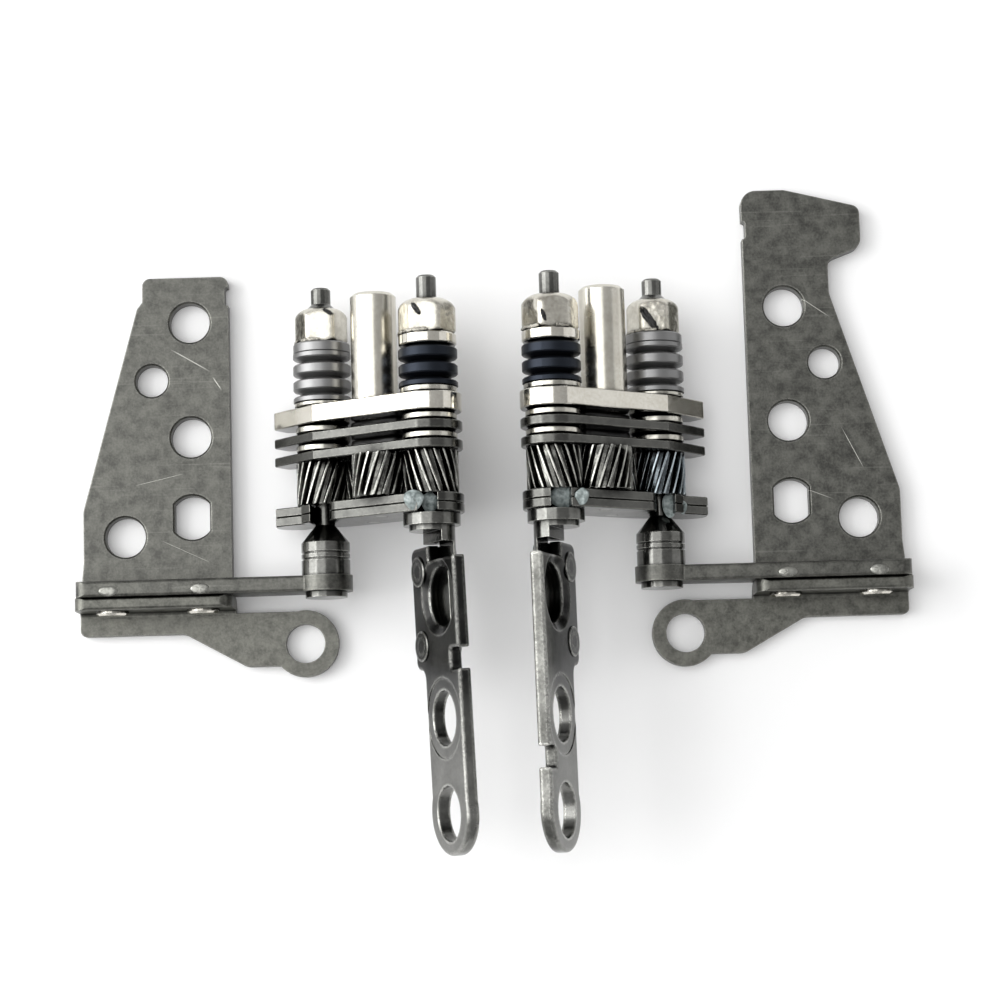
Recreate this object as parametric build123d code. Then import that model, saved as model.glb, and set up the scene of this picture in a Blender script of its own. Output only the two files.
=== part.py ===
from build123d import *

import os
from math import acos, atan2, cos, degrees, pi, radians, sin, sqrt, tan

"""Pair of geared two-shaft friction hinges for a laptop whose lid folds right round.

Each hinge has a base shaft, fixed in a folded bracket, and a lid shaft with a riveted arm. Four helical
gears tie the shafts together, so the lid turns twice as far as the link of plates that joins them.

Millimetres, +Z up, shafts along Y with their nuts towards +Y. The origin is on the table under the middle
of the pair, which lies with its base leaves flat on the table.

Three frames are used below. In the hinge frame the base shaft runs over X = 0, the lid shaft is towards +X
and Y = 0 is the under face of the post plate. In the link frame the base shaft is the Y axis and the lid
shaft lies on +X. In the lid frame the lid shaft is the Y axis and the arm's back lies on Z = 0.
"""

# Layout of the pair
base_shaft_half_span = 16.4
base_shaft_height = 4.8
left_opening = 115.0
right_opening = 110.0

# Gear train
shaft_spacing = 12.6
idler_offset = 1.8
tooth_count = 18
helix_angle = 18.0
pressure_angle = 20.0
gear_face_width = 4.1
backlash_gap = 0.08
tip_share = 0.95
root_share = 1.25
mesh_gap = 0.05
journal_diameter = 1.2

# Running and seating clearances
fit_gap = 0.05
key_gap = 0.03
face_gap = 0.03
gear_side_gap = 0.08

# Plates of the link
post_plate_thickness = 1.75
friction_plate_thickness = 0.9
gear_plate_thickness = 0.9
link_plate_thickness = 0.9
plate_rim = 0.75
plate_edge_break = 0.09
nose_reach = 5.2
nose_half_width = 1.2
nose_radius = 0.35
nose_taper_start = 1.0
tab_reach = 3.5
tab_half_width = 2.0
mouth_tilt = 26.0
mouth_bar_radius = 1.6
post_length = 10.6
post_room = 1.2
post_chamfer = 0.3
post_spigot_diameter = 3.0

# Shafts, washers, springs and nuts
shank_diameter = 3.4
shank_flats = 2.7
neck_diameter = 1.9
thread_diameter = 3.0
tip_diameter = 1.95
base_thread_stand = 0.5
base_tip_length = 1.65
lid_tip_length = 2.35
tip_chamfer = 0.2
friction_washer_diameter = 5.3
friction_washer_thickness = 0.88
friction_washer_break = 0.22
washer_break = 0.14
seat_washer_diameter = 5.5
base_seat_washer_thickness = 0.55
lid_seat_washer_thickness = 0.7
cap_washer_diameter = 5.6
base_cap_washer_thickness = 1.05
lid_cap_washer_thickness = 1.1
spring_diameter = 5.7
spring_thickness = 0.5
spring_cone = 0.3
spring_land = 0.12
spring_rim_break = 0.12
base_spring_discs = 6
lid_spring_discs = 5
base_nut_across_flats = 4.6
lid_nut_across_flats = 4.95
nut_height = 3.45
nut_crown_height = 1.3
nut_crown_diameter = 3.3
nut_crown_bulge = 0.2
nut_corner_radius = 0.5

# Base shaft below the gear
boss_diameter = 4.75
boss_length = 3.2
boss_groove_depth = 0.12
boss_groove_width = 0.2
boss_groove_spacing = 0.6
cone_length = 1.75
spigot_diameter = 3.2
spigot_flats = 2.4
swage_diameter = 4.1
swage_thickness = 0.6

# Lid shaft below the gear
shoulder_diameter = 5.5
shoulder_thickness = 1.1
stub_diameter = 4.4
seat_stub_length = 1.9
seat_stub_root = 0.6
stub_round_length = 0.5
tang_length = 10.6
tang_width = 5.5
tang_thickness = 1.0

# Base bracket, folded from one plate
leaf_thickness = 1.55
bend_inside_radius = 0.4
leaf_inner = 9.5
leaf_outer = 24.2
flange_outer = 24.4
flange_height = 6.4
flange_corner = 1.0
flange_edge_radius = 0.3
eye_radius = 2.6
leaf_slant_end = -7.4
leaf_flare_length = 2.1
leaf_flare_end = 0.2
leaf_foot_radii = (2.0, 1.0, 0.5)
left_leaf_top = 16.0
left_leaf_width = 8.6
left_step_drop = 2.4
left_step_length = 0.7
left_step_out = 0.55
left_leaf_radii = (0.8, 0.8, 0.4, 0.4)
right_leaf_top = 23.3
right_head_straight = 4.4
right_head_width = 11.9
right_head_drop = 1.9
right_hook_length = 4.1
right_throat_width = 8.5
right_throat_drop = 1.3
right_throat_length = 3.4
right_leaf_radii = (1.5, 2.0, 0.9, 1.2, 1.1, 2.5)
leaf_edge_break = 0.18
left_notch_drop = 2.0
right_notch_drop = 4.0
edge_notch_length = 1.9
edge_notch_depth = 0.35
edge_notch_rounding = 0.9
screw_hole_diameter = 4.0
locating_hole_diameter = 3.2
slot_length = 4.4
slot_width = 3.5
hole_row = 13.4
upper_hole_up = 11.4
middle_hole_up = -0.2
slot_up = -8.25
locating_hole_out = 17.25
locating_hole_up = 5.6
outer_hole_out = 20.05
outer_hole_up = -10.05

# Foot bracket
foot_thickness = 1.25
foot_flange_height = 5.9
foot_flange_inner = 9.2
foot_flange_corner = 1.2
foot_outer = 24.6
foot_reach = 3.5
foot_corner = 0.6
foot_neck_out = 14.3
foot_neck_in = 8.2
foot_neck_reach = 6.9
foot_neck_radius = 1.5
ear_out = 2.4
ear_reach = 4.75
ear_radius = 3.3
ear_hole_diameter = 3.85
ear_relief = 0.3

# Rivets through the two base flanges
base_rivet_diameter = 2.0
base_rivet_head_diameter = 3.2
base_rivet_head_height = 0.45
base_rivet_outs = (12.2, 21.1)
base_rivet_height = 3.5
rivet_head_rounding = 0.45

# Lid arm and its rivets
arm_thickness = 1.3
arm_seat = 1.45
arm_top = -12.6
arm_top_gap = 0.1
arm_shoulder = 1.7
arm_shoulder_drop = 1.4
arm_low_wide = 5.8
arm_low = 3.9
arm_high = 4.1
arm_step = -24.4
arm_step_radius = 1.0
arm_corner = 0.9
arm_eye_radius = 4.25
arm_eye_end = 3.95
arm_screw_hole_diameter = 5.3
arm_dish_diameter = 7.5
arm_dish_bore = 5.7
arm_dish_depth = 0.55
arm_dish_up = -17.6
arm_middle_hole_up = -29.2
arm_end_hole_up = -38.2
arm_coin_diameter = 7.7
arm_coin_depth = 0.08
arm_notch_length = 2.0
arm_notch_depth = 1.9
arm_notch_radius = 0.4
arm_edge_radius = 0.3
left_notch_up = -23.7
right_notch_up = -33.2
left_arm_lean = 1.9
right_arm_lean = -0.8
arm_rivet_diameter = 1.6
arm_rivet_head_diameter = 3.0
arm_rivet_head_height = 0.14
arm_rivet_low = 4.1
arm_rivet_drop = 2.2
arm_rivet_end_margin = 1.2

# Gear sizes that follow from the shaft spacing and the zigzag of the idlers
near_idler_along = (2 * shaft_spacing - sqrt(shaft_spacing**2 - 9 * idler_offset**2)) / 3
mesh_distance = sqrt(near_idler_along**2 + idler_offset**2)
pitch_radius = (mesh_distance - mesh_gap) / 2
normal_module = 2 * pitch_radius / tooth_count * cos(radians(helix_angle))
tip_radius = pitch_radius + tip_share * normal_module
root_radius = pitch_radius - root_share * normal_module
face_twist = degrees(gear_face_width * tan(radians(helix_angle)) / pitch_radius)
near_idler_centre = (near_idler_along, -idler_offset)
far_idler_centre = (shaft_spacing - near_idler_along, idler_offset)
lid_shaft_centre = (shaft_spacing, 0)
plate_half_width = idler_offset + journal_diameter / 2 + plate_rim
post_radius = shaft_spacing / 2 - spring_diameter / 2 - post_room

# Levels along the shafts, from the under face of the post plate downwards
high_washer_top = -face_gap
friction_plate_top = high_washer_top - friction_washer_thickness - face_gap
low_washer_top = friction_plate_top - friction_plate_thickness - face_gap
gear_plate_top = low_washer_top - friction_washer_thickness - face_gap
gear_top = gear_plate_top - gear_plate_thickness - gear_side_gap
gear_bottom = gear_top - gear_face_width
inner_link_top = gear_bottom - gear_side_gap
outer_link_top = inner_link_top - link_plate_thickness
neck_end = outer_link_top - link_plate_thickness - gear_side_gap
eye_top = neck_end - cone_length - boss_length
eye_bottom = eye_top - leaf_thickness
foot_face = eye_bottom - foot_thickness
shoulder_bottom = neck_end - shoulder_thickness

# Levels along the shafts, from the upper face of the post plate upwards
seat_level = post_plate_thickness + face_gap
base_seat_top = seat_level + base_seat_washer_thickness
lid_seat_top = seat_level + lid_seat_washer_thickness
disc_pitch = spring_thickness + spring_cone
base_springs_top = base_seat_top + base_spring_discs * disc_pitch
lid_springs_top = lid_seat_top + lid_spring_discs * disc_pitch
base_cap_top = base_springs_top + base_cap_washer_thickness
lid_cap_top = lid_springs_top + lid_cap_washer_thickness

tang_top = arm_top - arm_top_gap
arm_rivet_ups = (tang_top - arm_rivet_drop, tang_top - tang_length + arm_rivet_end_margin)
arm_end = arm_end_hole_up - arm_eye_end
middle_y = (right_leaf_top + arm_end) / 2


def slab(profile, top, thickness):
    """Extrude a profile drawn in X and Z from a level along Y downwards."""
    return extrude(Plane.XZ.offset(-top) * profile, amount=thickness)


def turned(*points):
    """Turn a closed outline of radius and level points about the Y axis."""
    return revolve(make_face(Polyline(*points, close=True)), axis=Axis.Y)


def double_d(diameter, flats):
    """Round section with two flats, for keyed shafts and bores."""
    return Circle(diameter / 2) & Rectangle(diameter, flats)


def keyed_ring(diameter, top, thickness, rim_break):
    """Washer that is keyed to a shaft's flats, with both edges of its rim broken."""
    radius = diameter / 2
    bottom = top - thickness
    disc = turned(
        (0, bottom),
        (radius - rim_break, bottom),
        (radius, bottom + rim_break),
        (radius, top - rim_break),
        (radius - rim_break, top),
        (0, top),
    )
    bore = double_d(shank_diameter + 2 * key_gap, shank_flats + 2 * key_gap)
    return disc - slab(bore, top, thickness)


def friction_washer(top):
    """Washer that is clamped between two plates of the link."""
    return keyed_ring(friction_washer_diameter, top, friction_washer_thickness, friction_washer_break)


def flat_washer(diameter, top, thickness):
    """Washer at an end of a spring stack."""
    return keyed_ring(diameter, top, thickness, washer_break)


def direction(start, end):
    """Angle of a line in the link frame, turned from +Z towards +X."""
    return degrees(atan2(end[0] - start[0], end[1] - start[1]))


def meshing_phase(start, start_phase, end):
    """Tooth phase of the gear at end that meshes with the gear at start."""
    pitch = 360 / tooth_count
    line = direction(start, end)
    share = (line - start_phase) / pitch
    return line + 180 - (0.5 - share) * pitch


def tooth_half_angle(radius):
    """Half of the angle that a tooth takes at a radius, on an involute flank."""
    base_radius = pitch_radius * cos(radians(pressure_angle))
    at_pitch = radians(pressure_angle)
    at_radius = acos(base_radius / max(radius, base_radius))
    half_width = (pi * pitch_radius / tooth_count - backlash_gap / 2) / 2
    involute = (tan(at_pitch) - at_pitch) - (tan(at_radius) - at_radius)
    return degrees(half_width / pitch_radius + involute)


def gear_outline(phase):
    """Gear section with one tooth centred on the phase angle."""
    root_half = tooth_half_angle(root_radius)
    tip_half = tooth_half_angle(tip_radius)
    corners = []
    for tooth in range(tooth_count):
        middle = phase + tooth * 360 / tooth_count
        for radius, offset in (
            (root_radius, -root_half),
            (tip_radius, -tip_half),
            (tip_radius, tip_half),
            (root_radius, root_half),
        ):
            angle = radians(middle + offset)
            corners.append((radius * sin(angle), radius * cos(angle)))
    return make_face(Polyline(*corners, close=True))


def helical_gear(hand, phase):
    """Gear on the Y axis. A tooth's middle is at the phase angle half way along the face."""
    start = hand * phase - face_twist / 2
    section = (Plane.XZ.offset(-gear_bottom) * gear_outline(start)).face()
    gear = Solid.extrude_linear_with_rotation(section, (0, gear_bottom, 0), (0, gear_face_width, 0), face_twist)
    return gear if hand > 0 else mirror(gear, about=Plane.YZ)


def shaft_head(springs_end, nut_stand, tip_length):
    """Upper end of a shaft: keyed shank, thread under the nut and turned tip."""
    nut_top = springs_end + nut_height
    shank = slab(double_d(shank_diameter, shank_flats), springs_end, springs_end - gear_top)
    thread_top = nut_top + nut_stand
    tip_top = thread_top + tip_length
    end = turned(
        (0, springs_end),
        (thread_diameter / 2, springs_end),
        (thread_diameter / 2, nut_top),
        (tip_diameter / 2, thread_top),
        (tip_diameter / 2, tip_top - tip_chamfer),
        (tip_diameter / 2 - tip_chamfer, tip_top),
        (0, tip_top),
    )
    return shank + end


def base_shaft(hand, phase):
    """Base shaft with its gear, cone, grooved boss and end swaged over the eye."""
    neck = neck_diameter / 2
    boss = boss_diameter / 2
    cone_end = neck_end - cone_length
    foot = turned(
        (0, gear_bottom),
        (neck, gear_bottom),
        (neck, neck_end),
        (boss, cone_end),
        (boss, eye_top),
        (0, eye_top),
    )
    groove_middle = (cone_end + eye_top) / 2
    for level in (groove_middle, groove_middle + boss_groove_spacing):
        ring = Circle(boss + boss_groove_depth) - Circle(boss - boss_groove_depth)
        foot -= slab(ring, level + boss_groove_width / 2, boss_groove_width)
    foot += slab(double_d(spigot_diameter, spigot_flats), eye_top, leaf_thickness)
    foot += slab(Circle(swage_diameter / 2), eye_bottom, swage_thickness)
    return shaft_head(base_cap_top, base_thread_stand, base_tip_length) + helical_gear(hand, phase) + foot


def stub_below(depth):
    """Section of the lid shaft's stub that is left below a flat at a depth under the axis."""
    below = Pos(0, -depth - stub_diameter / 2) * Rectangle(stub_diameter, stub_diameter)
    return Circle(stub_diameter / 2) & below


def leaned(piece, lean):
    """Lean the arm, its rivets and the tang back about the seat's upper edge."""
    return Pos(0, arm_top, -arm_seat) * Rot(lean, 0, 0) * Pos(0, -arm_top, arm_seat) * piece


def lid_shaft(hand, phase, lean):
    """Lid shaft with its gear, shoulder and the flat tang that the arm is riveted to."""
    neck = slab(Circle(neck_diameter / 2), gear_bottom, gear_bottom - neck_end)
    shoulder = slab(Circle(shoulder_diameter / 2), neck_end, shoulder_thickness)
    stub = slab(Circle(stub_diameter / 2), shoulder_bottom, stub_round_length)
    stub += slab(stub_below(0), shoulder_bottom, shoulder_bottom - arm_top - arm_top_gap)
    stub += leaned(slab(stub_below(arm_seat), arm_top + seat_stub_root, seat_stub_root + seat_stub_length), lean)
    tang_centre = Pos(-tang_width / 2, tang_top - tang_length / 2, -arm_seat)
    tang_outline = tang_centre * RectangleRounded(tang_width, tang_length, arm_corner)
    tang = leaned(Part() + extrude(tang_outline, amount=-tang_thickness) - tang_bores(), lean)
    head = shaft_head(lid_cap_top, 0, lid_tip_length)
    return head + helical_gear(hand, phase) + neck + shoulder + stub + tang


def idler(hand, phase):
    """Idler gear with a journal at each end."""
    journal = Circle(journal_diameter / 2)
    journal_top = gear_plate_top - face_gap
    upper = slab(journal, journal_top, journal_top - gear_top)
    lower = slab(journal, gear_bottom, gear_bottom - neck_end - gear_side_gap)
    return Part() + helical_gear(hand, phase) + upper + lower


def plate_outline():
    """Link plate: round about the lid shaft, with a tapered nose beyond the base shaft."""
    half = plate_half_width
    spacing = shaft_spacing
    sides = Polyline(
        (spacing, -half),
        (nose_taper_start, -half),
        (-nose_reach, -nose_half_width),
        (-nose_reach, nose_half_width),
        (nose_taper_start, half),
        (spacing, half),
    )
    end = ThreePointArc((spacing, half), (spacing + half, 0), (spacing, -half))
    outline = make_face([sides, end])
    return fillet(outline.vertices().sort_by(Axis.X)[:2], nose_radius)


def at(centres, shape):
    """The same sketch at each of several centres."""
    return [Pos(*centre) * shape for centre in centres]


def shaft_bores():
    """Running bores for both shafts."""
    return at([(0, 0), lid_shaft_centre], Circle(shank_diameter / 2 + fit_gap))


def journal_bores():
    """Running bores for both idlers."""
    return at([near_idler_centre, far_idler_centre], Circle(journal_diameter / 2 + fit_gap))


def plate(outline, top, thickness):
    """Flat plate with its outer edges broken."""
    blank = slab(outline, top, thickness)
    rims = ShapeList(edge for face in blank.faces().filter_by(Axis.Y) for edge in face.outer_wire().edges())
    return chamfer(rims, plate_edge_break)


def post_plate():
    """Thick plate that carries the guide post."""
    post_bore = Pos(shaft_spacing / 2, 0) * Circle(post_spigot_diameter / 2)
    outline = plate_outline() - shaft_bores() - post_bore
    return plate(outline, post_plate_thickness, post_plate_thickness)


def guide_post():
    """Round post between the spring stacks, with a spigot in the post plate."""
    top = post_plate_thickness + post_length
    post = turned(
        (0, 0),
        (post_spigot_diameter / 2, 0),
        (post_spigot_diameter / 2, post_plate_thickness),
        (post_radius, post_plate_thickness),
        (post_radius, top - post_chamfer),
        (post_radius - post_chamfer, top),
        (0, top),
    )
    return Pos(shaft_spacing / 2, 0, 0) * post


def link_plate(top):
    """Plate pushed onto the shafts' necks through two open slots, with a rounded tab."""
    outline = plate_outline()
    outline -= Pos(-nose_reach / 2 - nose_taper_start, 0) * Rectangle(nose_reach, 2 * plate_half_width)
    outline += Pos(-tab_reach / 2, 0) * Rectangle(tab_reach + 2 * nose_taper_start, 2 * tab_half_width)
    outline += Pos(-tab_reach, 0) * Circle(tab_half_width)
    slot_half = neck_diameter / 2 + fit_gap
    mouth_length = 2 * plate_half_width
    mouth = Rot(0, 0, -mouth_tilt) * Pos(0, mouth_length / 2) * Rectangle(2 * slot_half, mouth_length)
    outline -= at([(0, 0), lid_shaft_centre], Circle(slot_half) + mouth)
    lips = outline.vertices().filter_by(lambda lip: lip.Y > tab_half_width / 2)
    bar_lips = lips.filter_by(lambda lip: 0 < lip.X < shaft_spacing).sort_by(Axis.X)
    outline = fillet(bar_lips[-1], mouth_bar_radius)
    return plate(outline - journal_bores(), top, link_plate_thickness)


def disc_springs(count, bottom):
    """Stack of disc springs that touch in turn at their outer and inner edges."""
    bore = shank_diameter / 2 + fit_gap
    rim = spring_diameter / 2
    disc = turned(
        (bore, 0),
        (bore + spring_land, 0),
        (rim - spring_rim_break, spring_cone),
        (rim, spring_cone + spring_rim_break),
        (rim, disc_pitch),
        (rim - spring_land, disc_pitch),
        (bore, spring_thickness),
    )
    turned_over = Pos(0, disc_pitch, 0) * Rot(180, 0, 0) * disc
    stack = [
        Pos(0, bottom + place * disc_pitch, 0) * (disc if place % 2 else turned_over)
        for place in range(count)
    ]
    return Compound(children=stack)


def nut(across_flats, bottom):
    """Hexagon nut with rounded corners and a domed top."""
    hexagon = RegularPolygon(across_flats / 2, 6, major_radius=False)
    hexagon = fillet(hexagon.vertices(), nut_corner_radius)
    corner = across_flats / 2 / cos(pi / 6)
    top = bottom + nut_height
    shoulder = (corner, top - nut_crown_height)
    rim = (nut_crown_diameter / 2, top)
    bulge = ((shoulder[0] + rim[0]) / 2 + nut_crown_bulge, (shoulder[1] + rim[1]) / 2 + nut_crown_bulge)
    edge = Polyline(
        rim,
        (0, top),
        (0, bottom),
        (across_flats / 2, bottom),
        (corner, bottom + (corner - across_flats / 2)),
        shoulder,
    )
    crown = revolve(make_face([edge, ThreePointArc(shoulder, bulge, rim)]), axis=Axis.Y)
    blank = slab(hexagon - Circle(thread_diameter / 2 + key_gap), top, nut_height)
    return blank & crown


def leaf_foot():
    """Outer edge of a base leaf from the end of its slant to the flange, with its corner radii."""
    flare_end = eye_top + leaf_flare_end
    corners = (
        (-leaf_outer, leaf_slant_end),
        (-leaf_outer, flare_end + leaf_flare_length),
        (-flange_outer, flare_end),
        (-flange_outer, eye_bottom),
    )
    return corners, (*leaf_foot_radii, 0)


def left_leaf_outline():
    """Plan of the left base leaf, out from the base shaft along -X."""
    step_top = left_leaf_top - left_step_drop
    outer = leaf_inner + left_leaf_width
    foot, foot_radii = leaf_foot()
    corners = (
        (-leaf_inner, eye_bottom),
        (-leaf_inner, left_leaf_top),
        (-outer, left_leaf_top),
        (-outer, step_top),
        (-outer - left_step_out, step_top - left_step_length),
        *foot,
    )
    return corners, (0, *left_leaf_radii, *foot_radii), left_notch_drop


def right_leaf_outline():
    """Plan of the right base leaf, in the same sense as the left one, with a hooked head."""
    head_side = leaf_inner + right_head_width
    head_corner = right_leaf_top - right_head_drop
    hook_end = head_corner - right_hook_length
    throat_side = leaf_inner + right_throat_width
    throat_top = hook_end - right_throat_drop
    foot, foot_radii = leaf_foot()
    corners = (
        (-leaf_inner, eye_bottom),
        (-leaf_inner, right_leaf_top),
        (-leaf_inner - right_head_straight, right_leaf_top),
        (-head_side, head_corner),
        (-head_side, hook_end),
        (-throat_side, throat_top),
        (-throat_side, throat_top - right_throat_length),
        *foot,
    )
    return corners, (0, *right_leaf_radii, *foot_radii), right_notch_drop


def folded(thickness, height, reach, face, length, end):
    """L-shaped strip along -X: a flange up from the table at face, and a leaf of a given reach along Y."""
    along = 1 if reach > 0 else -1
    outer = bend_inside_radius + thickness
    corners = (
        (face, 0),
        (face + reach, 0),
        (face + reach, thickness),
        (face + along * thickness, thickness),
        (face + along * thickness, height),
        (face, height),
    )
    section = make_face(Polyline(*corners, close=True))
    heel = section.vertices().sort_by_distance((face, 0))[0]
    section = fillet(heel, outer)
    bend = section.vertices().sort_by_distance((face + along * thickness, thickness))[0]
    section = fillet(bend, bend_inside_radius)
    section = fillet(section.vertices().sort_by(Axis.Y)[-2:], flange_edge_radius)
    return extrude(Plane.YZ.offset(-end) * section, amount=end - length)


def leaf_holes():
    """Screw, locating and slotted holes of a base leaf."""
    round_holes = (
        (hole_row, upper_hole_up, screw_hole_diameter),
        (hole_row, middle_hole_up, screw_hole_diameter),
        (outer_hole_out, outer_hole_up, screw_hole_diameter),
        (locating_hole_out, locating_hole_up, locating_hole_diameter),
    )
    holes = [Pos(-out, up) * Circle(size / 2) for out, up, size in round_holes]
    slot = Circle(slot_length / 2) & Rectangle(slot_width, slot_length)
    return holes + [Pos(-hole_row, slot_up) * slot]


def base_bracket(outline):
    """Base leaf, the flange folded up from its edge and the arm that ends in the shaft's eye."""
    corners, radii, notch_drop = outline
    leaf_top = max(up for _, up in corners)
    plan = make_face(FilletPolyline(*corners, radius=list(radii), close=True))
    plan -= Pos(-leaf_inner, leaf_top - notch_drop) * RectangleRounded(
        2 * edge_notch_depth, edge_notch_length, edge_notch_depth * edge_notch_rounding
    )
    plan -= leaf_holes()
    reach = leaf_top - eye_bottom
    sheet = folded(leaf_thickness, flange_height, reach, eye_bottom, leaf_inner, flange_outer)
    bracket = sheet & extrude(plan, amount=flange_height)
    level_faces = bracket.faces().filter_by(Plane.XY).sort_by(Axis.Z)
    leaf_upper = level_faces.filter_by(lambda face: face.center().Z > leaf_thickness / 2)[0]
    bracket = chamfer(leaf_upper.inner_wires().edges(), leaf_edge_break)
    eye = Pos(0, base_shaft_height) * Circle(eye_radius)
    arm = Polyline(
        (-leaf_inner - leaf_thickness, flange_height),
        (0, flange_height),
        (0, base_shaft_height - eye_radius),
        (-leaf_inner + leaf_thickness, leaf_thickness),
        (-leaf_inner - leaf_thickness, leaf_thickness),
        close=True,
    )
    key = double_d(spigot_diameter + 2 * key_gap, spigot_flats + 2 * key_gap)
    bar = Pos((eye_top + eye_bottom) / 2, flange_height / 2) * Rectangle(leaf_thickness, flange_height)
    bar = fillet(bar.vertices().sort_by(Axis.Y)[-2:], flange_edge_radius)
    blade = slab(make_face(arm), eye_top, leaf_thickness) & extrude(Plane.YZ * bar, amount=-flange_outer)
    blade += slab(eye, eye_top, leaf_thickness)
    blade -= slab(Pos(0, base_shaft_height) * key, eye_top, leaf_thickness)
    corner_middle = Pos(-flange_outer + flange_corner, flange_height - flange_corner)
    corner = Pos(-flange_corner / 2, flange_corner / 2) * Rectangle(flange_corner, flange_corner)
    waste = corner_middle * (corner - Circle(flange_corner))
    return bracket + blade - slab(waste, eye_top, leaf_thickness) - rivet_bores()


def foot_bracket():
    """Second folded plate, riveted to the flange, with an ear that reaches under the base shaft."""
    edge = eye_bottom - foot_thickness - ear_relief
    ear = (-ear_out, eye_bottom - ear_reach)
    corners = (
        (-foot_flange_inner, eye_bottom),
        (-foot_flange_inner, edge),
        (-ear_out, edge),
        (-ear_out, eye_bottom - foot_neck_reach),
        (-foot_neck_in, eye_bottom - foot_neck_reach),
        (-foot_neck_out, eye_bottom - foot_reach),
        (-foot_outer, eye_bottom - foot_reach),
        (-foot_outer, eye_bottom),
    )
    radii = (0, 0, 0, 0, foot_neck_radius, foot_neck_radius, foot_corner, 0)
    plan = make_face(FilletPolyline(*corners, radius=list(radii), close=True))
    plan += Pos(*ear) * Circle(ear_radius)
    plan -= Pos(*ear) * Circle(ear_hole_diameter / 2)
    reach = -(ear_reach + 2 * ear_radius)
    wide = folded(foot_thickness, foot_flange_height, reach, eye_bottom, foot_flange_inner, foot_outer)
    flange_middle = (foot_outer + foot_flange_inner) / 2
    flange = Pos(-flange_middle, 0) * RectangleRounded(
        foot_outer - foot_flange_inner, 2 * foot_flange_height, foot_flange_corner
    )
    wide &= slab(flange, eye_bottom, -reach)
    bend_depth = foot_thickness + bend_inside_radius
    leaf = extrude(plan, amount=foot_thickness) - slab(flange, eye_bottom, bend_depth)
    return (wide & extrude(plan, amount=foot_flange_height)) + leaf - rivet_bores()


def rivet_bores():
    """Bores of the two base rivets through both flanges."""
    bores = at([(-out, base_rivet_height) for out in base_rivet_outs], Circle(base_rivet_diameter / 2))
    depth = leaf_thickness + foot_thickness
    return [slab(bore, eye_top, depth) for bore in bores]


def rivet(shank, head, head_height, grip, flush):
    """Rivet along +Z with its grip between Z = 0 and Z = grip, its far end headed or flush."""
    dome = head_height * rivet_head_rounding
    profile = [
        (0, -head_height),
        (head / 2 - dome, -head_height),
        (head / 2, -head_height + dome),
        (head / 2, 0),
        (shank / 2, 0),
        (shank / 2, grip),
    ]
    if flush:
        profile.append((0, grip))
    else:
        profile.append((head / 2, grip))
        profile.append((head / 2, grip + head_height - dome))
        profile.append((head / 2 - dome, grip + head_height))
        profile.append((0, grip + head_height))
    return revolve(Plane.XZ * make_face(Polyline(*profile, close=True)), axis=Axis.Z)


def base_rivets():
    """The two rivets that hold the foot bracket to the base bracket, peened flush at the leaf."""
    grip = leaf_thickness + foot_thickness
    one = rivet(base_rivet_diameter, base_rivet_head_diameter, base_rivet_head_height, grip, True)
    upright = Rot(-90, 0, 0) * one
    return Compound(children=[Pos(-out, foot_face, base_rivet_height) * upright for out in base_rivet_outs])


def lid_arm(notch_up):
    """Stamped arm on the tang, with a dished hole and two screw holes in a row."""
    wide_height = arm_top - arm_step
    wide = Pos((arm_high - arm_low_wide) / 2, arm_top - wide_height / 2) * RectangleRounded(
        arm_high + arm_low_wide, wide_height, arm_corner
    )
    long_height = arm_top - arm_corner - arm_end_hole_up
    bar_middle = (arm_high - arm_low) / 2
    bar = Pos(bar_middle, arm_end_hole_up + long_height / 2) * Rectangle(arm_high + arm_low, long_height)
    outline = wide + bar + Pos(0, arm_end_hole_up) * Ellipse(arm_eye_radius, arm_eye_end)
    inner_corner = outline.vertices().sort_by_distance((-arm_low, arm_step))[0]
    outline = fillet(inner_corner, arm_step_radius)
    notch = RectangleRounded(2 * arm_notch_depth, arm_notch_length, arm_notch_radius)
    outline -= Pos(arm_high, notch_up) * notch
    shoulder_width = arm_high + arm_shoulder
    shoulder = Rectangle(shoulder_width, 2 * arm_shoulder_drop)
    outline -= Pos(arm_high - shoulder_width / 2, arm_top) * shoulder
    blank = extrude(outline, amount=arm_thickness)
    rims = blank.edges().filter_by(lambda edge: edge.bounding_box().size.Z < arm_edge_radius)
    blank = fillet(rims, arm_edge_radius)
    screw_centres = [(0, arm_middle_hole_up), (0, arm_end_hole_up)]
    holes = at(screw_centres, Circle(arm_screw_hole_diameter / 2))
    holes += [Pos(0, arm_dish_up) * Circle(arm_dish_bore / 2)]
    rivet_centres = [(-arm_rivet_low, up) for up in arm_rivet_ups]
    holes += at(rivet_centres, Circle(arm_rivet_diameter / 2))
    arm = blank - [extrude(hole, amount=arm_thickness) for hole in holes]
    dish = Pos(0, arm_dish_up, arm_thickness - arm_dish_depth / 2) * Cone(
        arm_dish_bore / 2, arm_dish_diameter / 2, arm_dish_depth
    )
    coin = Pos(0, arm_middle_hole_up, arm_thickness) * Cylinder(arm_coin_diameter / 2, 2 * arm_coin_depth)
    return Pos(0, 0, -arm_seat) * (arm - dish - coin)


def arm_rivets():
    """The two rivets that hold the arm to the tang."""
    grip = arm_thickness + tang_thickness
    one = rivet(arm_rivet_diameter, arm_rivet_head_diameter, arm_rivet_head_height, grip, False)
    back = -arm_seat - tang_thickness
    return Compound(children=[Pos(-arm_rivet_low, up, back) * one for up in arm_rivet_ups])


def tang_bores():
    """Bores of the arm's rivets through the tang."""
    bore = extrude(Circle(arm_rivet_diameter / 2), amount=-tang_thickness)
    return [Pos(-arm_rivet_low, up, -arm_seat) * bore for up in arm_rivet_ups]


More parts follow.
